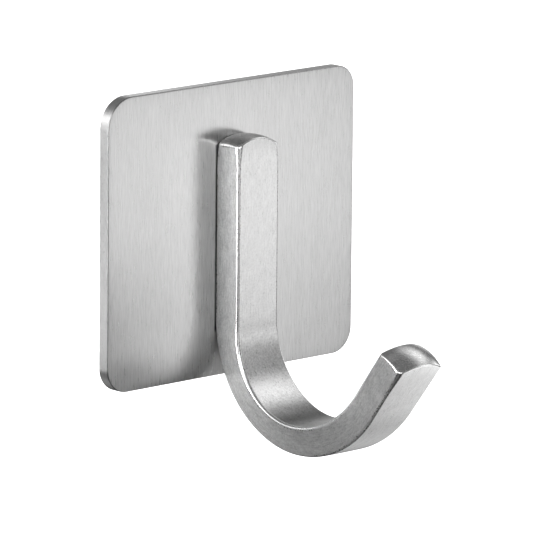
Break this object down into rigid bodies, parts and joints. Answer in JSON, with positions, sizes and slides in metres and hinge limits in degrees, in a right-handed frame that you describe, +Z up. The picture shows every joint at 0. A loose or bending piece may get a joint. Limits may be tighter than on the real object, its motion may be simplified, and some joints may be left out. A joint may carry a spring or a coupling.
{
  "type": "adhesive wall hook",
  "caption": "Adhesive wall hook: rounded rectangular brushed steel plate with a J-shaped flat bar hook welded to its front and a foam adhesive pad on its back.",
  "frame": {"origin": "centre of the adhesive pad's wall side, which is also the centre of the plate seen from the front", "axes": "+Z up, +Y into the wall, +X to the right as seen by someone facing the wall; the hook reaches out along -Y"},
  "size_m": [0.05, 0.044, 0.0545],
  "materials": {
    "brushed_plate": "vertical brushed grain, satin",
    "brushed_bar": "fine brushed grain along the bar, satin, polished crowned ends",
    "weld_metal": "as cast, dull",
    "adhesive_film": "tacky, slightly glossy film",
    "foam": "matte closed-cell foam"
  },
  "bodies": {
    "root": {"backplate": "brushed_plate", "hook_bar": "brushed_bar", "weld_nuggets": "weld_metal", "plate_adhesive": "adhesive_film", "foam_core": "foam", "wall_adhesive": "adhesive_film"}
  },
  "joints": []
}
